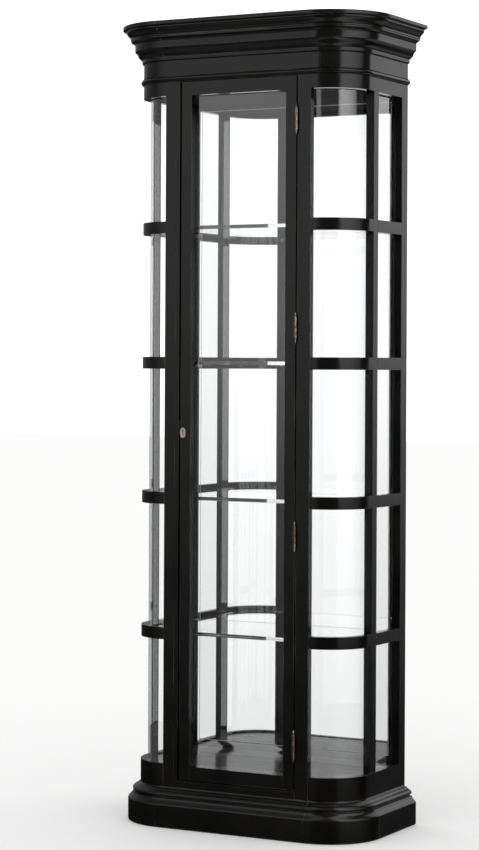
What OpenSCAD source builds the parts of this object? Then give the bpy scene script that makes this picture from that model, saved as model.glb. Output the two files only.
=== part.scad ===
// Tall floor-standing glazed display cabinet with quarter-round front corners.
// Built in plan with the front face of the carcass at y = 0 and the back at y = carcass_d,
// then moved so that the origin is under the middle of the whole cabinet, on the floor.

/* [Overall] */
// Height from the floor to the top of the cornice
total_h = 2200; // [2180:5:2300]
// Width of the carcass between its flat side faces
carcass_w = 687; // [670:1:760]
// Depth of the carcass from front face to back
carcass_d = 355; // [340:1:400]
// Outer radius of the two round front corners
corner_r = 118; // [110:1:122]
// Thickness of stiles, posts, rails and friezes
frame_t = 24; // [22:1:26]

/* [Levels] */
// Height of the plinth board
plinth_h = 83; // [76:1:86]
// Top of the base moulding and underside of the carcass frame
base_top = 107; // [104:1:112]
// Bottom edge of the side and corner panes that can be seen
pane_z0 = 170; // [165:1:176]
// Top edge of the side and corner panes that can be seen
pane_z1 = 2000; // [1980:1:2005]
// Underside of the moulding that runs round the neck
neck_z = 2037; // [2034:1:2040]
// Height of the cornice
cornice_h = 104; // [96:1:112]
// Top surface of the cabinet floor
floor_z = 166; // [163:1:167]
// Underside of the cabinet ceiling
ceiling_z = 2012; // [2010:1:2020]

/* [Mouldings] */
// How far the plinth stands out from the carcass
plinth_out = 34.5; // [30:0.5:38]
// How far the cornice stands out from the carcass
cornice_out = 58.5; // [55:0.5:62]
// How far the neck moulding stands out
neck_out = 7.5; // [6:0.5:9]

/* [Frame] */
// Distance from the outer edge of each front stile to the start of the round corner
stile_inset = 3.5; // [0.5:0.5:6]
// Width of the front stile on the lock side
left_stile_w = 32.5; // [28:0.5:36]
// Width of the front stile on the hinge side
right_stile_w = 38.7; // [34:0.1:42]
// Front edge of the side posts
post_y = 138; // [134:1:146]
// Width of the side posts
post_w = 29; // [26:1:34]
// Thickness of the outer leg of the side posts, which are angle shaped
post_leg_t = 7; // [5:0.5:9]
// Thickness of the inner leg of the side posts
post_web_t = 4; // [3:0.5:6]
// Width of the rear posts
rear_w = 37; // [34:1:44]
// Width of the overlap behind which a pane is held
rebate_w = 8; // [6:1:9]
// Thickness of the panes
pane_t = 4; // [3:0.5:5]
// Height of the glazing rails that cross the panes
rail_h = 33; // [28:1:38]
// Underside of the lowest glazing rail
rail_z = 510; // [480:1:540]
// Distance from one glazing rail to the next
rail_pitch = 371; // [350:1:375]

/* [Door] */
// Top of the rail under the door
sill_z = 127.5; // [124:0.5:130]
// Gap between the door and the rail under it
sill_gap = 3.5; // [2:0.5:4]
// Gap between the door and the frieze
head_gap = 1.5; // [1:0.5:3]
// Gap between the door and the batten on the lock side
lock_gap = 5.9; // [4:0.1:6]
// Width of the door stiles
door_stile_w = 31; // [29:1:36]
// Height of the door rails
door_rail_h = 36.5; // [34:0.5:42]
// Width of the gap at the hinge edge, which the hinge leaves fill
hinge_gap = 4; // [4:0.1:5]

/* [Hinges and lock] */
// Length of the hinge leaves
leaf_h = 54; // [48:3:66]
// Radius of the hinge knuckles
knuckle_r = 4.6; // [4:0.1:4.8]
// Radius of the hinge pins
pin_r = 2.4; // [2:0.1:2.6]
// Height of the middle of the lowest hinge
hinge_z0 = 250; // [220:1:300]
// Height of the middle of the highest hinge
hinge_z1 = 1919; // [1850:1:1960]
// Height of the keyhole
keyhole_z = 1077; // [1000:1:1200]
// Width of the keyhole plate
plate_w = 17; // [14:0.5:19]
// Height of the keyhole plate
plate_h = 27; // [24:0.5:34]
// Travel of the lock bolt
bolt_throw = 12; // [9:0.5:12]

/* [Shelves and mirror] */
// Thickness of the glass shelves
shelf_t = 10; // [8:0.5:12]
// Distance from the inner face of the frame to the edge of a shelf
shelf_gap = 10; // [9:0.5:14]
// Width of the bevel round the mirror
bevel_w = 20; // [14:1:26]

/* [Hidden] */
$fn = 96;

paint = "#1d1c1a";
glass_tint = [0.82, 0.88, 0.87, 0.35];

half_w = carcass_w / 2;
half_flat = half_w - corner_r;
stile_edge = half_flat - stile_inset;
cornice_z = total_h - cornice_h;
depth_mid = (carcass_d - cornice_out) / 2;
lip_t = frame_t - pane_t;
inner_x = half_w - frame_t;
post_end = post_y + post_w;
rear_y = carcass_d - rear_w;

back_t = 9;
mirror_t = 4;
mirror_y = carcass_d - back_t - mirror_t;
bevel_drop = 1.25;
panel_play = 0.3;
board_t = 20;
board_gap = 0.8;
board_count = 6;
top_drop = 4;
top_t = 18;
ceiling_t = 12;
plinth_t = 24;

batten_w = 12;
batten_x = left_stile_w - stile_edge;
right_stile_x = stile_edge - right_stile_w;
door_left = batten_x + batten_w + lock_gap;
door_right = right_stile_x - hinge_gap;
door_z0 = sill_z + sill_gap;
door_z1 = neck_z - head_gap;
door_y1 = frame_t;
stop_gap = 0.3;
stop_t = 7.5;
stop_reach = 6.5;
bead_w = 8;
bead_t = 2.5;
bead_back = 5;
joint_gap = 0.1;
bead_room = 3;

axis_x = door_right + hinge_gap / 2;
axis_y = -knuckle_r - 0.4;
pin_play = 0.05;
leaf_play = 0.8;
leaf_t = (hinge_gap - leaf_play) / 2;
leaf_y1 = 20;
knuckle_clear = 0.4;
end_play = 0.3;
outer_knuckles = [[-leaf_h / 2, -leaf_h / 6], [leaf_h / 6, leaf_h / 2]];
middle_knuckle = [[-leaf_h / 6 + end_play, leaf_h / 6 - end_play]];
hinge_count = 4;
hinge_pitch = (hinge_z1 - hinge_z0) / (hinge_count - 1);
hinge_zs = [for (i = [0:hinge_count - 1]) hinge_z0 + i * hinge_pitch];
screw_zs = [-0.35 * leaf_h, 0, 0.35 * leaf_h];
screw_y = 11;
screw_r = 1.4;
screw_head_r = 3;
screw_len = 14;

case_d = 25;
case_y0 = 5;
case_y1 = 17;
case_h = 64;
plate_edge = 0.1;
plate_rim = 3.2;
keyhole_x = door_left + plate_edge + plate_w / 2;
key_top_r = 2.3;
key_foot_r = 1.9;
key_slot_w = 2;
key_reach = 5.2;
bolt_z = keyhole_z + 15;
bolt_l = 20;
bolt_t = 6;
bolt_h = 14;
slide_play = 0.3;
bolt_slot_play = 0.5;
slot_room = 3;

shelf_count = 4;
shelf_zs = [for (i = [0:shelf_count - 1]) rail_z + i * rail_pitch + (rail_h - shelf_t) / 2];
shelf_pin_r = 2.5;
shelf_pin_out = 18;
shelf_pin_in = 8;
shelf_back_gap = 1.5;

eps = 0.01;

// ---------- outlines ----------

function arc(cx, cy, r, a0, a1, n = 6) =
    [for (i = [0:n]) [cx + r * cos(a0 + (a1 - a0) * i / n), cy + r * sin(a0 + (a1 - a0) * i / n)]];

// A shallow S from p to q: hollow in the first half and round in the second.
function ogee(p, q, swell, n = 8) =
    [for (i = [0:n]) [
        p[0] + (q[0] - p[0]) * i / n + swell * sin(360 * i / n),
        p[1] + (q[1] - p[1]) * i / n
    ]];

// Sections of the mouldings: first number is the distance out from the carcass face, second the height.
// The plinth has a rounded foot, an upright face, an ogee and a small step under the base moulding.
function plinth_section() = let (
    foot_r = 5,
    ogee_z = plinth_h - 22,
    ogee_in = 12,
    ogee_h = 16,
    step_in = 18
) concat(
    [[plinth_out - plinth_t, 0]],
    arc(plinth_out - foot_r, foot_r, foot_r, -90, 0, 4),
    ogee([plinth_out, ogee_z], [plinth_out - ogee_in, ogee_z + ogee_h], 1.2, 6),
    [[plinth_out - ogee_in - 0.5, plinth_h - 4], [plinth_out - step_in, plinth_h - 3]],
    [[plinth_out - step_in, plinth_h], [plinth_out - plinth_t, plinth_h]]
);

// The base moulding has a round nose and a hollow that runs up to the carcass face.
function base_section() = let (nose_r = 5.2, nose_x = 16.5, hollow_z = plinth_h + 11.5) concat(
    [[-frame_t, plinth_h]],
    arc(nose_x, plinth_h + nose_r, nose_r, -90, 60, 8),
    ogee([nose_x + 1.5, hollow_z], [1, base_top - 3], -1.2, 6),
    [[0, base_top], [-frame_t, base_top]]
);

// The neck moulding is a half round between two flats.
function neck_section() = let (round_r = 6.5, flat_out = neck_out - 4.5, h = 17) concat(
    [[0, neck_z], [flat_out, neck_z]],
    arc(neck_out - round_r, neck_z + h / 2, round_r, -80, 80, 10),
    [[flat_out, neck_z + h], [0, neck_z + h]]
);

// The cornice, from the bottom up: a bead, a lower ogee, a flat, a step, an upper ogee and a top board.
// It is drawn 58.5 out and 104 high, then stretched to the size asked for.
function cornice_section() = let (
    drawn_out = 58.5,
    drawn_h = 104,
    edge_r = 2.8,
    shape = concat(
        [[0, 0]],
        arc(2.5, 3.5, 2.5, -90, 0, 3),
        [[5, 12], [8.5, 13.5]],
        ogee([9.5, 15], [24, 34], 1.3, 8),
        [[25, 35], [25, 53]],
        arc(31, 53.5, 5.5, 175, 105, 4),
        [[35.5, 62], [35.5, 65.5]],
        ogee([37.5, 66.5], [49, 91], -2.2, 10),
        [[54, 92.5], [drawn_out - 0.8, drawn_h - 10.5], [drawn_out, drawn_h - 9.5]],
        arc(drawn_out - edge_r, drawn_h - edge_r, edge_r, 0, 90, 4)
    )
) concat(
    [[-frame_t, cornice_z]],
    [for (p = shape) [p[0] * cornice_out / drawn_out, cornice_z + p[1] * cornice_h / drawn_h]],
    [[-frame_t, total_h]]
);

// ---------- building blocks ----------

// Moves the cabinet from its working frame to the origin under its middle.
module placed() {
    translate([0, -depth_mid, 0])
        children();
}

// Both sides of the cabinet from its right half.
module both() {
    children();
    mirror([1, 0, 0])
        children();
}

module box(lo, hi) {
    translate(lo)
        cube(hi - lo);
}

// A moulding along the front, its section given as [out, height] points.
module run_front(section, x0, x1) {
    translate([x0, 0, 0])
        rotate([90, 0, 90])
            linear_extrude(height = x1 - x0)
                mirror([1, 0])
                    polygon(section);
}

// The same moulding round the right front corner.
module run_corner(section) {
    translate([half_flat, corner_r, 0])
        rotate([0, 0, -90])
            rotate_extrude(angle = 90)
                polygon([for (p = section) [corner_r + p[0], p[1]]]);
}

// The same moulding along the right side, from y0 to y1.
module run_side(section, y0, y1) {
    translate([half_w, y1, 0])
        rotate([90, 0, 0])
            linear_extrude(height = y1 - y0)
                polygon(section);
}

// Plan of a band that follows the right front corner, between two depths under the face,
// from x0 on the front to y1 on the side.
module corner_plan(outer, inner, x0, y1) {
    translate([x0, outer])
        square([half_flat - x0, inner - outer]);
    translate([half_flat, corner_r])
        intersection() {
            difference() {
                circle(r = corner_r - outer);
                circle(r = corner_r - inner);
            }
            translate([0, -corner_r - 1])
                square(corner_r + 1);
        }
    translate([half_w - inner, corner_r])
        square([inner - outer, y1 - corner_r]);
}

module corner_band(outer, inner, x0, y1, z0, z1) {
    translate([0, 0, z0])
        linear_extrude(height = z1 - z0)
            corner_plan(outer, inner, x0, y1);
}

// Plan of a panel that fills the carcass to a given depth under its faces, back to y1.
module inside_plan(inset, y1) {
    r = corner_r - inset;
    difference() {
        union() {
            translate([-half_w + inset, corner_r])
                square([carcass_w - 2 * inset, y1 - corner_r]);
            translate([-half_flat, inset])
                square([2 * half_flat, corner_r - inset + eps]);
            for (s = [-1, 1])
                translate([s * half_flat, corner_r])
                    circle(r = r);
        }
        translate([-half_w, y1])
            square([carcass_w, corner_r]);
    }
}

// ---------- base ----------

module plinth_front() {
    color(paint)
        placed()
            run_front(plinth_section(), -half_flat, half_flat);
}

module plinth_corners() {
    color(paint)
        placed()
            both()
                run_corner(plinth_section());
}

module plinth_sides() {
    color(paint)
        placed()
            both()
                run_side(plinth_section(), corner_r, carcass_d);
}

module plinth_back() {
    reach = half_w + plinth_out - plinth_t;
    color(paint)
        placed()
            box([-reach, carcass_d - plinth_t, 0], [reach, carcass_d, plinth_h]);
}

module base_moulding_front() {
    color(paint)
        placed()
            run_front(base_section(), -half_flat, half_flat);
}

module base_moulding_corners() {
    color(paint)
        placed()
            both()
                run_corner(base_section());
}

module base_moulding_sides() {
    color(paint)
        placed()
            both()
                run_side(base_section(), corner_r, carcass_d);
}

// Boards that run from side to side. The first has a rebate that the lower bead of the door shuts into.
module floor_boards() {
    back = mirror_y + mirror_t;
    pitch = (back - frame_t) / board_count;
    bead_out = bead_back + bead_w;
    rebate_x0 = door_left + door_stile_w - bead_out - bead_room;
    rebate_x1 = door_right - door_stile_w + bead_out + bead_room;
    rebate_z0 = door_z0 + door_rail_h - bead_out - bead_room;
    color("#2a2825")
        placed()
            difference() {
                translate([0, 0, floor_z - board_t])
                    linear_extrude(height = board_t)
                        difference() {
                            inside_plan(frame_t + panel_play, back);
                            for (i = [1:board_count - 1])
                                translate([-half_w, frame_t + i * pitch])
                                    square([carcass_w, board_gap]);
                        }
                box(
                    [rebate_x0, frame_t - 1, rebate_z0],
                    [rebate_x1, frame_t + bead_t + 1, floor_z + 1]
                );
            }
}

module bottom_rail_front() {
    color(paint)
        placed()
            box([batten_x, 0, base_top], [right_stile_x, frame_t, sill_z]);
}

module bottom_rail_corners() {
    color(paint)
        placed()
            both() {
                corner_band(0, frame_t, stile_edge, post_y, base_top, pane_z0 - rebate_w);
                corner_band(0, lip_t, stile_edge, post_y, pane_z0 - rebate_w - eps, pane_z0);
            }
}

module bottom_rail_sides() {
    color(paint)
        placed()
            both()
                difference() {
                    box([inner_x, post_y, base_top], [half_w, rear_y, pane_z0]);
                    side_pane_space();
                }
}

// ---------- upright frame ----------

// Spaces that the panes stand in, right half.
module corner_pane_space() {
    corner_band(
        lip_t, frame_t + 1, stile_edge - rebate_w, post_y,
        pane_z0 - rebate_w, pane_z1 + rebate_w
    );
}

module side_pane_space() {
    box(
        [inner_x - 1, post_y + post_web_t, pane_z0 - rebate_w],
        [half_w - lip_t, rear_y + rebate_w, pane_z1 + rebate_w]
    );
}

module front_stile_left() {
    color(paint)
        placed()
            difference() {
                box([-stile_edge, 0, base_top], [batten_x, frame_t, neck_z]);
                mirror([1, 0, 0])
                    corner_pane_space();
                shelf_pins_all();
            }
}

module front_stile_right() {
    color(paint)
        placed()
            difference() {
                box([right_stile_x, 0, base_top], [stile_edge, frame_t, neck_z]);
                corner_pane_space();
                shelf_pins_all();
                frame_screws();
            }
}

// Slot that the lock bolt shoots into, from x0 out through the face of the strike plate.
module bolt_slot(x0) {
    y_mid = (case_y0 + case_y1) / 2;
    box(
        [x0, y_mid - bolt_t / 2 - bolt_slot_play, bolt_z - bolt_h / 2 - bolt_slot_play],
        [door_left, y_mid + bolt_t / 2 + bolt_slot_play, bolt_z + bolt_h / 2 + bolt_slot_play]
    );
}

// The batten that the door closes against, with the stop behind the door.
module strike_batten() {
    color(paint)
        placed()
            difference() {
                union() {
                    box([batten_x, 0, sill_z], [batten_x + batten_w, frame_t + stop_gap, neck_z]);
                    box(
                        [batten_x, frame_t + stop_gap, floor_z],
                        [door_left + stop_reach, frame_t + stop_gap + stop_t, ceiling_z]
                    );
                }
                bolt_slot(door_left - bolt_throw - slot_room);
            }
}

// Angle-shaped post: one leg lies in the side face, the other reaches in between the two panes.
module side_post() {
    translate([0, 0, pane_z0])
        linear_extrude(height = pane_z1 - pane_z0) {
            translate([half_w - post_leg_t, post_y])
                square([post_leg_t, post_w]);
            translate([inner_x, post_y])
                square([frame_t - post_leg_t + eps, post_web_t]);
        }
}

module side_post_left() {
    color(paint)
        placed()
            mirror([1, 0, 0])
                side_post();
}

module side_post_right() {
    color(paint)
        placed()
            side_post();
}

module rear_post() {
    difference() {
        box([inner_x, rear_y, base_top], [half_w, carcass_d, cornice_z]);
        side_pane_space();
        shelf_pins_all();
    }
}

module rear_post_left() {
    color(paint)
        placed()
            mirror([1, 0, 0])
                rear_post();
}

module rear_post_right() {
    color(paint)
        placed()
            rear_post();
}

// ---------- glazing rails ----------

module corner_rails() {
    for (i = [0:shelf_count - 1])
        corner_band(0, lip_t, stile_edge, post_y, rail_z + i * rail_pitch, rail_z + i * rail_pitch + rail_h);
}

// Straight rails, each with a tongue that runs in behind the outer leg of the side post.
module side_rails() {
    for (i = [0:shelf_count - 1])
        translate([0, 0, rail_z + i * rail_pitch])
            linear_extrude(height = rail_h) {
                translate([half_w - lip_t, post_end])
                    square([lip_t, rear_y - post_end]);
                translate([half_w - lip_t, post_y + post_web_t])
                    square([lip_t - post_leg_t, post_w - post_web_t + eps]);
            }
}

module corner_rails_left() {
    color(paint)
        placed()
            mirror([1, 0, 0])
                corner_rails();
}

module corner_rails_right() {
    color(paint)
        placed()
            corner_rails();
}

module side_rails_left() {
    color(paint)
        placed()
            mirror([1, 0, 0])
                side_rails();
}

module side_rails_right() {
    color(paint)
        placed()
            side_rails();
}

// ---------- head ----------

module frieze_front() {
    color(paint)
        placed()
            box([-stile_edge, 0, neck_z], [stile_edge, frame_t, cornice_z]);
}

module frieze_corners() {
    color(paint)
        placed()
            both() {
                corner_band(0, lip_t, stile_edge, post_y, pane_z1, pane_z1 + rebate_w + eps);
                corner_band(0, frame_t, stile_edge, post_y, pane_z1 + rebate_w, cornice_z);
            }
}

module frieze_sides() {
    color(paint)
        placed()
            both()
                difference() {
                    box([inner_x, post_y, pane_z1], [half_w, rear_y, cornice_z]);
                    side_pane_space();
                }
}

module neck_moulding() {
    color(paint)
        placed() {
            run_front(neck_section(), -half_flat, half_flat);
            both() {
                run_corner(neck_section());
                run_side(neck_section(), corner_r, carcass_d);
            }
        }
}

module cornice_front() {
    color(paint)
        placed()
            run_front(cornice_section(), -half_flat, half_flat);
}

module cornice_corners() {
    color(paint)
        placed()
            both()
                run_corner(cornice_section());
}

module cornice_sides() {
    color(paint)
        placed()
            both()
                run_side(cornice_section(), corner_r, carcass_d);
}

module top_panel() {
    color(paint)
        placed()
            translate([0, 0, total_h - top_drop - top_t])
                linear_extrude(height = top_t)
                    inside_plan(frame_t + panel_play, carcass_d - back_t);
}

module ceiling_panel() {
    color(paint)
        placed()
            translate([0, 0, ceiling_z])
                linear_extrude(height = ceiling_t)
                    inside_plan(frame_t + panel_play, mirror_y + mirror_t);
}

module back_panel() {
    color("#24221f")
        placed()
            box([-inner_x, carcass_d - back_t, plinth_h], [inner_x, carcass_d, total_h - top_drop]);
}

// ---------- glass ----------

// Wedge that cuts the shallow bevel along an edge that stands at the origin, centred on its length.
module bevel_cutter(length) {
    translate([0, 0, -length / 2])
        linear_extrude(height = length)
            polygon([[-bevel_w, 0], [1, bevel_drop * (1 + 1 / bevel_w)], [1, -1], [-bevel_w, -1]]);
}

// A mirror that stands on the floor boards, with a shallow bevel round its front edges.
module mirror_plate() {
    w = 2 * inner_x;
    h = ceiling_z - floor_z;
    color("silver")
        placed()
            translate([0, mirror_y, (floor_z + ceiling_z) / 2])
                difference() {
                    translate([-w / 2, 0, -h / 2])
                        cube([w, mirror_t, h]);
                    both()
                        translate([w / 2, 0, 0])
                            bevel_cutter(h + 2);
                    for (turn = [-90, 90])
                        rotate([0, turn, 0])
                            translate([h / 2, 0, 0])
                                bevel_cutter(w + 2);
                }
}

module corner_glass() {
    corner_band(
        lip_t, frame_t, stile_edge - rebate_w, post_y,
        pane_z0 - rebate_w, pane_z1 + rebate_w
    );
}

module side_glass() {
    box(
        [inner_x, post_y + post_web_t, pane_z0 - rebate_w],
        [half_w - lip_t, rear_y + rebate_w, pane_z1 + rebate_w]
    );
}

module corner_glass_left() {
    color(glass_tint)
        placed()
            mirror([1, 0, 0])
                corner_glass();
}

module corner_glass_right() {
    color(glass_tint)
        placed()
            corner_glass();
}

module side_glass_left() {
    color(glass_tint)
        placed()
            mirror([1, 0, 0])
                side_glass();
}

module side_glass_right() {
    color(glass_tint)
        placed()
            side_glass();
}

// Flat upright beads on the stiles and rear posts, over the edges of the panes and set back from sight.
module glazing_beads() {
    bead_x = stile_edge - bead_back - bead_w;
    bead_y = rear_y + bead_back;
    color(paint)
        placed()
            both() {
                box([bead_x, frame_t, floor_z], [bead_x + bead_w, frame_t + bead_t, ceiling_z]);
                box([inner_x - bead_t, bead_y, floor_z], [inner_x, bead_y + bead_w, ceiling_z]);
            }
}

module shelf(i) {
    color(glass_tint)
        placed()
            translate([0, 0, shelf_zs[i]])
                linear_extrude(height = shelf_t)
                    inside_plan(frame_t + shelf_gap, mirror_y - shelf_back_gap);
}

module shelf_1() {
    shelf(0);
}

module shelf_2() {
    shelf(1);
}

module shelf_3() {
    shelf(2);
}

module shelf_4() {
    shelf(3);
}

// Four round pins under each shelf, in the stiles and the rear posts.
module shelf_pins_all() {
    stile_x = (stile_edge - bead_back - bead_w + right_stile_x) / 2;
    rear_pin_y = (rear_y + bead_back + bead_w + mirror_y) / 2;
    for (z = shelf_zs)
        translate([0, 0, z - shelf_pin_r])
            both() {
                translate([stile_x, frame_t - shelf_pin_in, 0])
                    rotate([-90, 0, 0])
                        cylinder(r = shelf_pin_r, h = shelf_pin_in + shelf_pin_out);
                translate([inner_x + shelf_pin_in, rear_pin_y, 0])
                    rotate([0, -90, 0])
                        cylinder(r = shelf_pin_r, h = shelf_pin_in + shelf_pin_out);
            }
}

module shelf_pins() {
    color("silver")
        placed()
            shelf_pins_all();
}

// ---------- door ----------

// Space that the door pane stands in, open to the back of the door.
module door_pane_space() {
    box(
        [door_left + door_stile_w - rebate_w, lip_t, door_z0 + door_rail_h - rebate_w],
        [door_right - door_stile_w + rebate_w, door_y1 + 1, door_z1 - door_rail_h + rebate_w]
    );
}

// Keyhole: two round holes joined by a slot, along y.
module keyhole(y0, y1) {
    translate([keyhole_x, y1, keyhole_z])
        rotate([90, 0, 0])
            linear_extrude(height = y1 - y0) {
                translate([0, key_reach])
                    circle(r = key_top_r);
                translate([-key_slot_w / 2, -key_reach])
                    square([key_slot_w, 2 * key_reach]);
                translate([0, -key_reach])
                    circle(r = key_foot_r);
            }
}

module door_stile_lock() {
    color(paint)
        placed()
            difference() {
                box([door_left, 0, door_z0], [door_left + door_stile_w, door_y1, door_z1]);
                door_pane_space();
                box(
                    [door_left - 1, case_y0, keyhole_z - case_h / 2],
                    [door_left + case_d, case_y1, keyhole_z + case_h / 2]
                );
                keyhole(-1, case_y0 + 1);
            }
}

module door_stile_hinge() {
    color(paint)
        placed()
            difference() {
                box([door_right - door_stile_w, 0, door_z0], [door_right, door_y1, door_z1]);
                door_pane_space();
                door_screws();
            }
}

module door_rail(z0, z1) {
    difference() {
        box([door_left + door_stile_w, 0, z0], [door_right - door_stile_w, door_y1, z1]);
        door_pane_space();
    }
}

module door_rail_top() {
    color(paint)
        placed()
            door_rail(door_z1 - door_rail_h, door_z1);
}

module door_rail_bottom() {
    color(paint)
        placed()
            door_rail(door_z0, door_z0 + door_rail_h);
}

module door_glass() {
    color(glass_tint)
        placed()
            box(
                [door_left + door_stile_w - rebate_w, lip_t, door_z0 + door_rail_h - rebate_w],
                [door_right - door_stile_w + rebate_w, door_y1, door_z1 - door_rail_h + rebate_w]
            );
}

// Four beads on the back of the door, over the edges of the pane.
module door_beads() {
    x0 = door_left + door_stile_w - bead_back - bead_w;
    x1 = door_right - door_stile_w + bead_back + bead_w;
    z0 = door_z0 + door_rail_h - bead_back;
    z1 = door_z1 - door_rail_h + bead_back;
    color(paint)
        placed() {
            for (x = [x0, x1 - bead_w])
                box([x, door_y1, z0 - bead_w], [x + bead_w, door_y1 + bead_t, z1 + bead_w]);
            for (z = [z0 - bead_w, z1])
                box(
                    [x0 + bead_w + joint_gap, door_y1, z],
                    [x1 - bead_w - joint_gap, door_y1 + bead_t, z + bead_w]
                );
        }
}

// ---------- hinges ----------

module knuckle(z0, z1) {
    translate([axis_x, axis_y, z0])
        difference() {
            cylinder(r = knuckle_r, h = z1 - z0);
            translate([0, 0, -1])
                cylinder(r = pin_r + pin_play, h = z1 - z0 + 2);
        }
}

// Leaf between the door and the stile, cut clear of the other leaf's knuckles.
module leaf(x0, own, other) {
    difference() {
        box([x0, axis_y, -leaf_h / 2], [x0 + leaf_t, leaf_y1, leaf_h / 2]);
        for (k = other)
            translate([axis_x, axis_y, k[0] - end_play])
                cylinder(r = knuckle_r + knuckle_clear, h = k[1] - k[0] + 2 * end_play);
        translate([axis_x, axis_y, -leaf_h])
            cylinder(r = pin_r + pin_play, h = 2 * leaf_h);
    }
    for (k = own)
        knuckle(k[0], k[1]);
}

// Countersunk screw along x: dir is 1 into the stile and -1 into the door.
module screw(dir) {
    rotate([0, dir * 90, 0]) {
        cylinder(r = screw_r, h = screw_len);
        cylinder(r1 = screw_head_r, r2 = screw_r, h = leaf_t);
    }
}

module frame_screws() {
    for (z = hinge_zs, s = screw_zs)
        translate([right_stile_x - leaf_t, screw_y, z + s])
            screw(1);
}

module door_screws() {
    for (z = hinge_zs, s = screw_zs)
        translate([door_right + leaf_t, screw_y, z + s])
            screw(-1);
}

module hinge_leaves_frame() {
    color("#6e625a")
        placed()
            difference() {
                for (z = hinge_zs)
                    translate([0, 0, z])
                        leaf(right_stile_x - leaf_t, outer_knuckles, middle_knuckle);
                frame_screws();
            }
}

module hinge_leaves_door() {
    color("#6e625a")
        placed()
            difference() {
                for (z = hinge_zs)
                    translate([0, 0, z])
                        leaf(door_right, middle_knuckle, outer_knuckles);
                door_screws();
            }
}

// Finial: a collar, a neck and a ball, turned about the pin's axis.
module finial() {
    collar_h = 2.4;
    neck_r = 2.6;
    ball_r = 3.6;
    ball_z = 8.6;
    tip_z = 11;
    tip_h = 4;
    cylinder(r = knuckle_r - 0.2, h = collar_h);
    cylinder(r = neck_r, h = ball_z);
    translate([0, 0, ball_z])
        sphere(r = ball_r);
    translate([0, 0, tip_z])
        cylinder(r1 = 2.2, r2 = 0.8, h = tip_h);
}

module hinge_pins() {
    color("#776a60")
        placed()
            for (z = hinge_zs)
                translate([axis_x, axis_y, z]) {
                    translate([0, 0, -leaf_h / 2])
                        cylinder(r = pin_r, h = leaf_h);
                    translate([0, 0, leaf_h / 2])
                        finial();
                    translate([0, 0, -leaf_h / 2])
                        mirror([0, 0, 1])
                            finial();
                }
}

module hinge_screws_frame() {
    color("#776a60")
        placed()
            frame_screws();
}

module hinge_screws_door() {
    color("#776a60")
        placed()
            door_screws();
}

// ---------- lock ----------

module bolt_space(play) {
    y_mid = (case_y0 + case_y1) / 2;
    box(
        [door_left - (play > 0 ? 1 : 0), y_mid - bolt_t / 2 - play, bolt_z - bolt_h / 2 - play],
        [door_left + bolt_l + play, y_mid + bolt_t / 2 + play, bolt_z + bolt_h / 2 + play]
    );
}

module lock_case() {
    color("#8a7a5c")
        placed()
            difference() {
                box(
                    [door_left, case_y0, keyhole_z - case_h / 2],
                    [door_left + case_d, case_y1, keyhole_z + case_h / 2]
                );
                bolt_space(slide_play);
                keyhole(case_y0 - 1, case_y1 - 2);
            }
}

module lock_bolt() {
    color("#9a8b6a")
        placed()
            bolt_space(0);
}

// Raised oval plate with a sunk middle round the keyhole.
module keyhole_plate() {
    plate_t = 2.6;
    middle_t = 1.4;
    color("#b59a86")
        placed()
            difference() {
                oval(plate_w / 2, plate_h / 2, -plate_t, 0);
                oval(plate_w / 2 - plate_rim, plate_h / 2 - plate_rim, -plate_t - 1, -middle_t);
                keyhole(-plate_t - 1, 1);
            }
}

// Round-ended plate about the keyhole: half width, half height, front and back.
module oval(rx, rz, y0, y1) {
    translate([keyhole_x, y1, keyhole_z])
        rotate([90, 0, 0])
            linear_extrude(height = y1 - y0) {
                for (s = [-1, 1])
                    translate([0, s * (rz - rx)])
                        circle(r = rx);
                translate([-rx, rx - rz])
                    square([2 * rx, 2 * (rz - rx)]);
            }
}

module strike_plate() {
    strike_t = 1.5;
    strike_h = 36;
    x = batten_x + batten_w;
    color("#8a7a5c")
        placed()
            difference() {
                box([x, case_y0, bolt_z - strike_h / 2], [x + strike_t, case_y1, bolt_z + strike_h / 2]);
                bolt_slot(x - 1);
            }
}

plinth_front();
plinth_corners();
plinth_sides();
plinth_back();
base_moulding_front();
base_moulding_corners();
base_moulding_sides();
floor_boards();
bottom_rail_front();
bottom_rail_corners();
bottom_rail_sides();
front_stile_left();
front_stile_right();
strike_batten();
side_post_left();
side_post_right();
rear_post_left();
rear_post_right();
corner_rails_left();
corner_rails_right();
side_rails_left();
side_rails_right();
frieze_front();
frieze_corners();
frieze_sides();
neck_moulding();
cornice_front();
cornice_corners();
cornice_sides();
top_panel();
ceiling_panel();
back_panel();
mirror_plate();
corner_glass_left();
corner_glass_right();
side_glass_left();
side_glass_right();
glazing_beads();
shelf_1();
shelf_2();
shelf_3();
shelf_4();
shelf_pins();
door_stile_lock();
door_stile_hinge();
door_rail_top();
door_rail_bottom();
door_glass();
door_beads();
hinge_leaves_frame();
hinge_leaves_door();
hinge_pins();
hinge_screws_frame();
hinge_screws_door();
lock_case();
lock_bolt();
keyhole_plate();
strike_plate();
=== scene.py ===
import math

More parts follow.
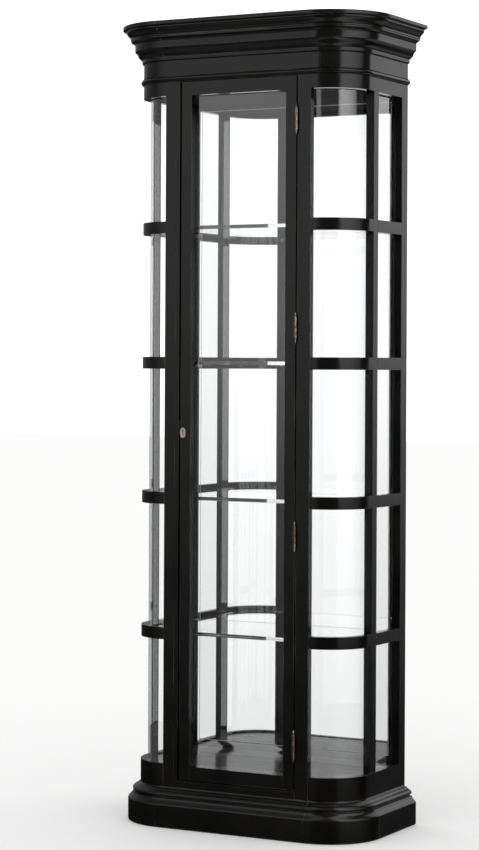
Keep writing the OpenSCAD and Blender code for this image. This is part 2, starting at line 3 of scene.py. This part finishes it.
import bmesh
import bpy
from mathutils import Matrix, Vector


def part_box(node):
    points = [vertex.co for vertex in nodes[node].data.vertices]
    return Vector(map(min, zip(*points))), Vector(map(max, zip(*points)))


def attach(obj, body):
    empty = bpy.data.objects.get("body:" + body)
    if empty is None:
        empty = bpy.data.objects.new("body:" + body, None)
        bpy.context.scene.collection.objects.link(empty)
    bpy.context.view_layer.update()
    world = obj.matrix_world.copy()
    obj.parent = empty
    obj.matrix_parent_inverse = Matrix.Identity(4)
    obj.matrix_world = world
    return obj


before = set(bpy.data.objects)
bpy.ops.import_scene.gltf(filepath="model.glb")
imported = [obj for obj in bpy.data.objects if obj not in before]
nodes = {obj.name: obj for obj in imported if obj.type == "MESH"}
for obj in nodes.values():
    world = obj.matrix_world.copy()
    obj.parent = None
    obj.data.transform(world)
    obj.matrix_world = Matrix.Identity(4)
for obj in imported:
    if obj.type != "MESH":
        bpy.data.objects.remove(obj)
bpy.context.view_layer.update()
MM = 0.001


# ---------- node helpers ----------

EVEN = (1.0, 1.0, 1.0)


def new_material(name):
    """An empty node material: (material, its tree, its Principled shader, its output)."""
    mat = bpy.data.materials.new(name)
    mat.use_nodes = True
    tree = mat.node_tree
    tree.nodes.clear()
    shader = tree.nodes.new("ShaderNodeBsdfPrincipled")
    output = tree.nodes.new("ShaderNodeOutputMaterial")
    tree.links.new(shader.outputs[0], output.inputs["Surface"])
    return mat, tree, shader, output


def add(tree, kind, inputs=None, **settings):
    """A node with its settings made and its inputs set to numbers or linked to sockets."""
    node = tree.nodes.new("ShaderNode" + kind)
    for key, value in settings.items():
        setattr(node, key, value)
    for key, value in (inputs or {}).items():
        if isinstance(value, bpy.types.NodeSocket):
            tree.links.new(value, node.inputs[key])
        else:
            node.inputs[key].default_value = value
    return node


def math_node(tree, operation, a, b=0.0, clamp=False):
    return add(tree, "Math", {0: a, 1: b}, operation=operation, use_clamp=clamp).outputs[0]


def noise(tree, vector, scale, detail=4.0, roughness=0.5, distortion=0.0):
    inputs = {"Vector": vector, "Scale": scale, "Detail": detail, "Roughness": roughness,
              "Distortion": distortion}
    return add(tree, "TexNoise", inputs).outputs[0]


def spread(tree, value, low, high, to_low=0.0, to_high=1.0):
    """Maps value from low..high to to_low..to_high, clamped."""
    inputs = {"Value": value, "From Min": low, "From Max": high, "To Min": to_low, "To Max": to_high}
    return add(tree, "MapRange", inputs, clamp=True).outputs[0]


def ramp(tree, value, stops):
    """A line through (position, level) stops, as a socket that holds the level at value."""
    low, high = stops[0][0], stops[-1][0]
    peak = max(level for _, level in stops)
    node = add(tree, "ValToRGB", {"Fac": spread(tree, value, low, high)})
    marks = node.color_ramp.elements
    for position, _ in stops[1:-1]:
        marks.new((position - low) / (high - low))
    for mark, (_, level) in zip(marks, stops):
        mark.color = (level / peak, level / peak, level / peak, 1.0)
    return math_node(tree, "MULTIPLY", node.outputs["Color"], peak)


def choose(tree, factor, a, b):
    """The number a where factor is 0, and b where it is 1."""
    return add(tree, "Mix", {0: factor, 2: a, 3: b}, data_type="FLOAT").outputs[0]


def blend_colours(tree, factor, a, b):
    node = add(tree, "Mix", data_type="RGBA")
    for socket, value in ((node.inputs[0], factor), (node.inputs[6], a), (node.inputs[7], b)):
        if isinstance(value, bpy.types.NodeSocket):
            tree.links.new(value, socket)
        else:
            socket.default_value = value
    return node.outputs[2]


def stretched(tree, stretch):
    """Object coordinates, in metres, squeezed by stretch along each axis."""
    coords = add(tree, "TexCoord").outputs["Object"]
    return add(tree, "Mapping", {"Vector": coords, "Scale": stretch}).outputs[0]


def edge_mask(tree, radius, low, high):
    """1 on outer and inner edges, 0 on flat ground: how far a rounded normal leans from the true one."""
    rounded = add(tree, "Bevel", {"Radius": radius}, samples=6).outputs[0]
    true = add(tree, "NewGeometry").outputs["Normal"]
    lean = add(tree, "VectorMath", {0: rounded, 1: true}, operation="DOT_PRODUCT").outputs["Value"]
    return spread(tree, lean, high, low)


def bump(tree, height, strength, distance):
    inputs = {"Height": height, "Strength": strength, "Distance": distance}
    return add(tree, "Bump", inputs).outputs[0]


# ---------- materials ----------

PAINT = (0.0022, 0.0021, 0.0019, 1.0)
PAINT_THIN = (0.0052, 0.0047, 0.0040, 1.0)
RUBBED = (0.130, 0.114, 0.096, 1.0)
MATT = (0.004, 0.0038, 0.0034, 1.0)
MATT_THIN = (0.008, 0.0074, 0.0066, 1.0)
STAIN = (0.010, 0.0095, 0.0085, 1.0)
STAIN_THIN = (0.030, 0.027, 0.023, 1.0)
BOARD = (0.014, 0.013, 0.012, 1.0)
BOARD_GRAIN = (0.034, 0.030, 0.026, 1.0)
SILVER = (0.93, 0.94, 0.935, 1.0)
SILVER_HAZE = (0.90, 0.91, 0.905, 1.0)
GROUND = (0.62, 0.63, 0.62, 1.0)
GROUND_POLISHED = (0.36, 0.37, 0.365, 1.0)
GLASS_IOR = 1.5
BOTH_FACES = 1.8


def painted_wood(name, grain_axis, wear=1.0, edge_radius=1.8 * MM):
    """Satin black paint over close-grained wood, rubbed through a little along the edges.
    grain_axis is 0, 1 or 2: the axis that the grain runs along."""
    mat, tree, shader, _ = new_material(name)
    stretch = [60.0, 60.0, 60.0]
    stretch[grain_axis] = 2.2
    along = stretched(tree, stretch)
    plain = stretched(tree, EVEN)
    grain = noise(tree, along, 6.0, 6.0, 0.62, 0.3)
    pores = spread(tree, noise(tree, along, 16.0, 3.0, 0.7), 0.56, 0.70)
    blotch = noise(tree, plain, 7.0, 3.0, 0.55)
    scuffs = spread(tree, noise(tree, along, 2.5, 8.0, 0.75, 1.2), 0.62, 0.74)
    edges = edge_mask(tree, edge_radius, 0.90, 0.995)
    broken = spread(tree, noise(tree, along, 1.3, 6.0, 0.7), 0.46, 0.62)
    patches = spread(tree, noise(tree, plain, 4.3, 2.0, 0.5), 0.40, 0.56)
    rub = math_node(tree, "MULTIPLY", math_node(tree, "MULTIPLY", edges, broken), patches)
    rub = math_node(tree, "MULTIPLY", rub, wear, clamp=True)
    base = blend_colours(tree, spread(tree, blotch, 0.35, 0.75), PAINT, PAINT_THIN)
    base = blend_colours(tree, math_node(tree, "MULTIPLY", scuffs, 0.10), base, RUBBED)
    colour = blend_colours(tree, rub, base, RUBBED)
    rough = spread(tree, blotch, 0.3, 0.8, 0.11, 0.19)
    rough = math_node(tree, "ADD", rough, math_node(tree, "MULTIPLY", grain, 0.06))
    rough = math_node(tree, "ADD", rough, math_node(tree, "MULTIPLY", rub, 0.25), clamp=True)
    height = math_node(tree, "SUBTRACT", math_node(tree, "MULTIPLY", grain, 0.6), pores)
    tree.links.new(colour, shader.inputs["Base Color"])
    tree.links.new(rough, shader.inputs["Roughness"])
    tree.links.new(bump(tree, height, 0.14, 0.08 * MM), shader.inputs["Normal"])
    shader.inputs["Specular IOR Level"].default_value = 0.22
    return mat


def matt_paint(name):
    """Dull black paint of the ceiling, brushed across the cabinet."""
    mat, tree, shader, _ = new_material(name)
    strokes = noise(tree, stretched(tree, (1.5, 50.0, 50.0)), 5.0, 5.0, 0.6, 0.3)
    blotch = noise(tree, stretched(tree, EVEN), 6.0, 3.0, 0.5)
    colour = blend_colours(tree, spread(tree, blotch, 0.3, 0.7), MATT, MATT_THIN)
    tree.links.new(colour, shader.inputs["Base Color"])
    tree.links.new(spread(tree, strokes, 0.3, 0.7, 0.80, 0.90), shader.inputs["Roughness"])
    tree.links.new(bump(tree, strokes, 0.1, 0.08 * MM), shader.inputs["Normal"])
    shader.inputs["Specular IOR Level"].default_value = 0.02
    return mat


def gloss_boards(name):
    """Black stained boards under gloss varnish, with a slightly different tone on each board."""
    mat, tree, shader, _ = new_material(name)
    along = stretched(tree, (2.0, 40.0, 40.0))
    grain = noise(tree, along, 7.0, 6.0, 0.6, 0.4)
    blotch = noise(tree, stretched(tree, EVEN), 5.0, 2.0, 0.5)
    island = add(tree, "NewGeometry").outputs["Random Per Island"]
    tone = math_node(tree, "ADD", math_node(tree, "MULTIPLY", island, 0.5), grain)
    colour = blend_colours(tree, spread(tree, tone, 0.3, 1.1), STAIN, STAIN_THIN)
    tree.links.new(colour, shader.inputs["Base Color"])
    tree.links.new(spread(tree, blotch, 0.3, 0.7, 0.12, 0.20), shader.inputs["Roughness"])
    tree.links.new(bump(tree, grain, 0.05, 0.03 * MM), shader.inputs["Normal"])
    shader.inputs["Specular IOR Level"].default_value = 0.4
    return mat


def back_board(name):
    """Thin board painted dull black: the grain shows through, and the roller left a fine texture."""
    mat, tree, shader, _ = new_material(name)
    along = stretched(tree, (30.0, 30.0, 1.5))
    grain = noise(tree, along, 4.0, 6.0, 0.65, 0.6)
    roller = noise(tree, stretched(tree, EVEN), 420.0, 3.0, 0.6)
    colour = blend_colours(tree, spread(tree, grain, 0.35, 0.7), BOARD, BOARD_GRAIN)
    raised = math_node(tree, "MULTIPLY", grain, 0.7)
    height = math_node(tree, "ADD", raised, math_node(tree, "MULTIPLY", roller, 0.3))
    tree.links.new(colour, shader.inputs["Base Color"])
    tree.links.new(spread(tree, grain, 0.3, 0.7, 0.62, 0.78), shader.inputs["Roughness"])
    tree.links.new(bump(tree, height, 0.3, 0.2 * MM), shader.inputs["Normal"])
    shader.inputs["Specular IOR Level"].default_value = 0.3
    return mat


def pane_glass(name):
    """Thin clear glass: what is behind shows straight through, and the face that a ray enters mirrors
    a little by angle, for both faces together."""
    mat, tree, shader, output = new_material(name)
    tree.nodes.remove(shader)
    streak = noise(tree, stretched(tree, (1.0, 1.0, 0.15)), 9.0, 2.0, 0.5)
    geometry = add(tree, "NewGeometry")
    normal = bump(tree, streak, 0.004, 0.3 * MM)
    clear = add(tree, "BsdfTransparent", {"Color": (0.996, 0.999, 0.998, 1.0)})
    gloss = add(tree, "BsdfGlossy", {"Color": (1.0, 1.0, 1.0, 1.0), "Roughness": 0.0, "Normal": normal})
    share = add(tree, "Fresnel", {"IOR": GLASS_IOR}).outputs[0]
    both_faces = math_node(tree, "MULTIPLY", share, BOTH_FACES, clamp=True)
    front = math_node(tree, "SUBTRACT", 1.0, geometry.outputs["Backfacing"])
    mix = add(tree, "MixShader", {0: math_node(tree, "MULTIPLY", both_faces, front)})
    tree.links.new(clear.outputs[0], mix.inputs[1])
    tree.links.new(gloss.outputs[0], mix.inputs[2])
    tree.links.new(mix.outputs[0], output.inputs["Surface"])
    return mat


def shelf_glass(name):
    """Thick clear glass that bends light, faintly green at its polished edges."""
    mat, tree, shader, output = new_material(name)
    shader.inputs["Base Color"].default_value = (0.96, 0.985, 0.98, 1.0)
    shader.inputs["Transmission Weight"].default_value = 1.0
    shader.inputs["IOR"].default_value = GLASS_IOR
    smear = noise(tree, stretched(tree, EVEN), 14.0, 3.0, 0.6)
    tree.links.new(spread(tree, smear, 0.4, 0.8, 0.0, 0.03), shader.inputs["Roughness"])
    clear = add(tree, "BsdfTransparent", {"Color": (0.96, 0.98, 0.975, 1.0)})
    shadow = add(tree, "LightPath").outputs["Is Shadow Ray"]
    mix = add(tree, "MixShader", {0: shadow, 1: shader.outputs[0], 2: clear.outputs[0]})
    tree.links.new(mix.outputs[0], output.inputs["Surface"])
    return mat


def silvering(name):
    """Silvered mirror glass with a trace of haze."""
    mat, tree, shader, _ = new_material(name)
    haze = noise(tree, stretched(tree, EVEN), 6.0, 4.0, 0.6)
    shader.inputs["Metallic"].default_value = 1.0
    shade = blend_colours(tree, spread(tree, haze, 0.3, 0.8), SILVER, SILVER_HAZE)
    tree.links.new(shade, shader.inputs["Base Color"])
    tree.links.new(spread(tree, haze, 0.45, 0.8, 0.0, 0.015), shader.inputs["Roughness"])
    return mat


def ground_edge(name):
    """The fine ground line along a bevel: frosted glass that scatters light, broken by polishing marks."""
    mat, tree, shader, _ = new_material(name)
    marks = noise(tree, stretched(tree, EVEN), 45.0, 4.0, 0.6)
    shade = blend_colours(tree, spread(tree, marks, 0.35, 0.7), GROUND, GROUND_POLISHED)
    tree.links.new(shade, shader.inputs["Base Color"])
    tree.links.new(spread(tree, marks, 0.3, 0.7, 0.30, 0.45), shader.inputs["Roughness"])
    tree.links.new(bump(tree, marks, 0.15, 0.05 * MM), shader.inputs["Normal"])
    return mat


def aged_metal(name, bright, dark, rough, wear_radius):
    """Metal with mottled tarnish and brighter, rubbed edges."""
    mat, tree, shader, _ = new_material(name)
    plain = stretched(tree, EVEN)
    tarnish = noise(tree, plain, 160.0, 5.0, 0.65)
    brushed = noise(tree, stretched(tree, (900.0, 900.0, 40.0)), 1.0, 3.0, 0.5)
    edges = edge_mask(tree, wear_radius, 0.85, 0.99)
    colour = blend_colours(tree, spread(tree, tarnish, 0.40, 0.62), bright, dark)
    colour = blend_colours(tree, math_node(tree, "MULTIPLY", edges, 0.55), colour, bright)
    roughness = spread(tree, tarnish, 0.35, 0.7, rough, rough + 0.18)
    shader.inputs["Metallic"].default_value = 1.0
    tree.links.new(colour, shader.inputs["Base Color"])
    tree.links.new(roughness, shader.inputs["Roughness"])
    tree.links.new(bump(tree, brushed, 0.12, 0.05 * MM), shader.inputs["Normal"])
    return mat


# ---------- finishes of the CAD nodes ----------

UPRIGHT = [
    "front_stile_left", "front_stile_right", "strike_batten", "side_post_left", "side_post_right",
    "rear_post_left", "rear_post_right", "glazing_beads", "door_stile_lock", "door_stile_hinge", "door_beads",
]
ALONG_Y = [
    "plinth_sides", "base_moulding_sides", "bottom_rail_sides", "side_rails_left", "side_rails_right",
    "frieze_sides", "cornice_sides",
]
ALONG_X = [
    "plinth_front", "plinth_corners", "plinth_back", "base_moulding_front", "base_moulding_corners",
    "bottom_rail_front", "bottom_rail_corners", "corner_rails_left", "corner_rails_right",
    "frieze_front", "frieze_corners", "top_panel", "door_rail_top", "door_rail_bottom",
]
MOULDINGS = ["neck_moulding", "cornice_front", "cornice_corners"]
PANES = ["corner_glass_left", "corner_glass_right", "side_glass_left", "side_glass_right", "door_glass"]
SHELVES = ["shelf_1", "shelf_2", "shelf_3", "shelf_4"]
HINGES = [
    "hinge_leaves_frame", "hinge_leaves_door", "hinge_pins", "hinge_screws_frame", "hinge_screws_door",
]


WELD_GAP = 0.01 * MM
EDGE_SEGMENTS = 2
SHARP_FROM = 32
NORMAL_WEIGHT = 60


def finish_node(name, material, edge_radius):
    """Gives a CAD node its material, and softens its edges with modifiers."""
    obj = nodes[name]
    mesh = obj.data
    mesh.polygons.foreach_set("use_smooth", [True] * len(mesh.polygons))
    if not mesh.materials:
        mesh.materials.append(material)
    for material_slot in obj.material_slots:
        material_slot.link = "OBJECT"
        material_slot.material = material
    weld = obj.modifiers.new("weld", "WELD")
    weld.merge_threshold = WELD_GAP
    bevel = obj.modifiers.new("soft_edges", "BEVEL")
    bevel.width = edge_radius
    bevel.segments = EDGE_SEGMENTS
    bevel.limit_method = "ANGLE"
    bevel.angle_limit = math.radians(SHARP_FROM)
    normals = obj.modifiers.new("normals", "WEIGHTED_NORMAL")
    normals.weight = NORMAL_WEIGHT


grain_z = painted_wood("paint_grain_z", 2)
grain_y = painted_wood("paint_grain_y", 1)
grain_x = painted_wood("paint_grain_x", 0)
moulded = painted_wood("paint_mouldings", 0, 1.5, 2.6 * MM)
bronze = aged_metal("aged_bronze", (0.24, 0.19, 0.17, 1), (0.040, 0.032, 0.028, 1), 0.22, 0.5 * MM)
copper = aged_metal("coppery_brass", (0.66, 0.50, 0.42, 1), (0.34, 0.24, 0.19, 1), 0.26, 0.6 * MM)
brass = aged_metal("lock_brass", (0.70, 0.55, 0.32, 1), (0.42, 0.32, 0.17, 1), 0.26, 0.5 * MM)
steel = aged_metal("pin_steel", (0.62, 0.62, 0.62, 1), (0.34, 0.34, 0.33, 1), 0.22, 0.3 * MM)
pane = pane_glass("pane_glass")
thick = shelf_glass("shelf_glass")

for group, material, radius in (
    (UPRIGHT, grain_z, 0.8 * MM),
    (ALONG_Y, grain_y, 0.5 * MM),
    (ALONG_X, grain_x, 0.5 * MM),
    (MOULDINGS, moulded, 0.5 * MM),
    (["floor_boards"], gloss_boards("gloss_boards"), 0.6 * MM),
    (["ceiling_panel"], matt_paint("matt_paint"), 0.5 * MM),
    (["back_panel"], back_board("back_board"), 0.6 * MM),
    (PANES, pane, 0.2 * MM),
    (SHELVES, thick, 0.8 * MM),
    (["mirror_plate"], silvering("silvering"), 0.15 * MM),
    (HINGES, bronze, 0.2 * MM),
    (["keyhole_plate"], copper, 0.5 * MM),
    (["lock_case", "lock_bolt", "strike_plate"], brass, 0.3 * MM),
    (["shelf_pins"], steel, 0.2 * MM),
):
    for node_name in group:
        finish_node(node_name, material, radius)


# ---------- the line round the mirror's bevel ----------

# As wide as the bevel of the CAD's mirror plate, so the two are changed together.
BEVEL_WIDTH = 20 * MM
ARRIS_RADIUS = 0.9 * MM
ARRIS_SINK = 0.1 * MM
ARRIS_STEPS = 6


def make_arris():
    """The ground line where the mirror's flat face meets its bevel: a half-round loop with mitred corners."""
    low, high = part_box("mirror_plate")
    x0, x1 = low[0] + BEVEL_WIDTH, high[0] - BEVEL_WIDTH
    z0, z1 = low[2] + BEVEL_WIDTH, high[2] - BEVEL_WIDTH
    front = low[1] + ARRIS_SINK
    corners = [(x0, z0, -1, -1), (x1, z0, 1, -1), (x1, z1, 1, 1), (x0, z1, -1, 1)]
    points = []
    for x, z, out_x, out_z in corners:
        for i in range(ARRIS_STEPS + 1):
            turn = math.pi * i / ARRIS_STEPS
            out = ARRIS_RADIUS * math.cos(turn)
            points.append((x + out_x * out, front - 0.5 * ARRIS_RADIUS * math.sin(turn), z + out_z * out))
    ring = ARRIS_STEPS + 1
    faces = []
    for corner in range(len(corners)):
        here, after = corner * ring, (corner + 1) % len(corners) * ring
        for i in range(ring):
            step = (i + 1) % ring
            faces.append((here + i, after + i, after + step, here + step))
    mesh = bpy.data.meshes.new("mirror_arris")
    mesh.from_pydata(points, [], faces)
    loop = bmesh.new()
    loop.from_mesh(mesh)
    bmesh.ops.recalc_face_normals(loop, faces=loop.faces)
    loop.to_mesh(mesh)
    loop.free()
    mesh.materials.append(ground_edge("ground_edge"))
    arris = bpy.data.objects.new("mirror_arris", mesh)
    bpy.context.scene.collection.objects.link(arris)
    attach(arris, "carcass")


make_arris()


# ---------- stage, light and camera ----------

CAMERA_PLACE = (3.0828, -5.8333, 1.2676)
CAMERA_TURN = 28.385
CAMERA_ROLL = 0.276
LENS_MM = 101.5
SHIFT_UP = -0.0724
SENSOR_MM = 36.0
FAR_LIMIT = 200.0
FLOOR_HALF = 30.0


def make_floor():
    mesh = bpy.data.meshes.new("studio_floor")
    corners = [(side_x * FLOOR_HALF, side_y * FLOOR_HALF, 0)
               for side_x, side_y in ((-1, -1), (1, -1), (1, 1), (-1, 1))]
    mesh.from_pydata(corners, [], [(0, 1, 2, 3)])
    floor = bpy.data.objects.new("studio_floor", mesh)
    bpy.context.scene.collection.objects.link(floor)
    mat, _, shader, _ = new_material("pale_floor")
    shader.inputs["Base Color"].default_value = (0.93, 0.93, 0.925, 1)
    shader.inputs["Roughness"].default_value = 0.9
    shader.inputs["Specular IOR Level"].default_value = 0.0
    mesh.materials.append(mat)
    floor.visible_glossy = False


def make_camera():
    data = bpy.data.cameras.new("camera")
    data.lens = LENS_MM
    data.sensor_width = SENSOR_MM
    data.shift_y = SHIFT_UP
    data.clip_end = FAR_LIMIT
    camera = bpy.data.objects.new("camera", data)
    bpy.context.scene.collection.objects.link(camera)
    camera.matrix_world = (
        Matrix.Translation(CAMERA_PLACE)
        @ Matrix.Rotation(math.radians(CAMERA_TURN), 4, "Z")
        @ Matrix.Rotation(math.radians(90), 4, "X")
        @ Matrix.Rotation(math.radians(CAMERA_ROLL), 4, "Z")
    )
    bpy.context.scene.camera = camera


# What the cabinet's outer glossy faces mirror: soft boxes with dark gaps between them.
# AROUND goes by degrees from the front towards the right, HEIGHTS and INSIDE by the upward part of the
# direction. All these levels were chosen to bring the tones near the photo's.
AROUND = [
    (-180, 0.3), (-60, 0.4), (-34, 1.5), (-11, 1.8), (-6, 0.25), (46, 0.25), (53, 4.2), (80, 3.8), (108, 1.8),
    (118, 0.10), (144, 0.10), (150, 1.5), (180, 1.5),
]
HEIGHTS = [
    (-1.0, 0.6), (-0.5, 0.3), (-0.28, 0.03), (-0.15, 0.05), (-0.06, 0.30), (0.02, 0.85), (0.12, 1.0),
    (1.0, 1.0),
]
DAYLIGHT = 1.05
BACKDROP = 1.35
# The backdrop in mirrored and glossy faces behind glass: it dims above the soft boxes.
INSIDE = [(-1.0, 0.9), (-0.15, 1.02), (-0.05, 1.14), (0.10, 1.3), (0.135, 0.6), (0.3, 0.5), (1.0, 0.4)]


def make_world():
    """White light whose level differs by the kind of ray: seen directly, lighting, or mirrored."""
    world = bpy.data.worlds.new("studio")
    bpy.context.scene.world = world
    world.use_nodes = True
    world.cycles.sampling_method = "NONE"
    tree = world.node_tree
    way = add(tree, "SeparateXYZ", {0: add(tree, "TexCoord").outputs["Generated"]})
    forward = math_node(tree, "MULTIPLY", way.outputs["Y"], -1.0)
    turn = math_node(tree, "ARCTAN2", way.outputs["X"], forward)
    degrees = math_node(tree, "MULTIPLY", turn, 180.0 / math.pi)
    around = ramp(tree, degrees, AROUND)
    studio = math_node(tree, "MULTIPLY", around, ramp(tree, way.outputs["Z"], HEIGHTS))
    path = add(tree, "LightPath")
    through = math_node(tree, "GREATER_THAN", path.outputs["Transparent Depth"], 0.5)
    inside = ramp(tree, way.outputs["Z"], INSIDE)
    mirrored = choose(tree, through, studio, inside)
    indirect = choose(tree, path.outputs["Is Glossy Ray"], DAYLIGHT, mirrored)
    level = choose(tree, path.outputs["Is Camera Ray"], indirect, BACKDROP)
    tree.links.new(level, tree.nodes["Background"].inputs["Strength"])
    tree.nodes["Background"].inputs["Color"].default_value = (1.0, 1.0, 1.0, 1.0)


make_floor()
make_camera()
make_world()
scene = bpy.context.scene
scene.view_settings.view_transform = "Standard"
scene.cycles.transparent_max_bounces = 48
scene.cycles.max_bounces = 16
scene.cycles.glossy_bounces = 8
scene.cycles.transmission_bounces = 16
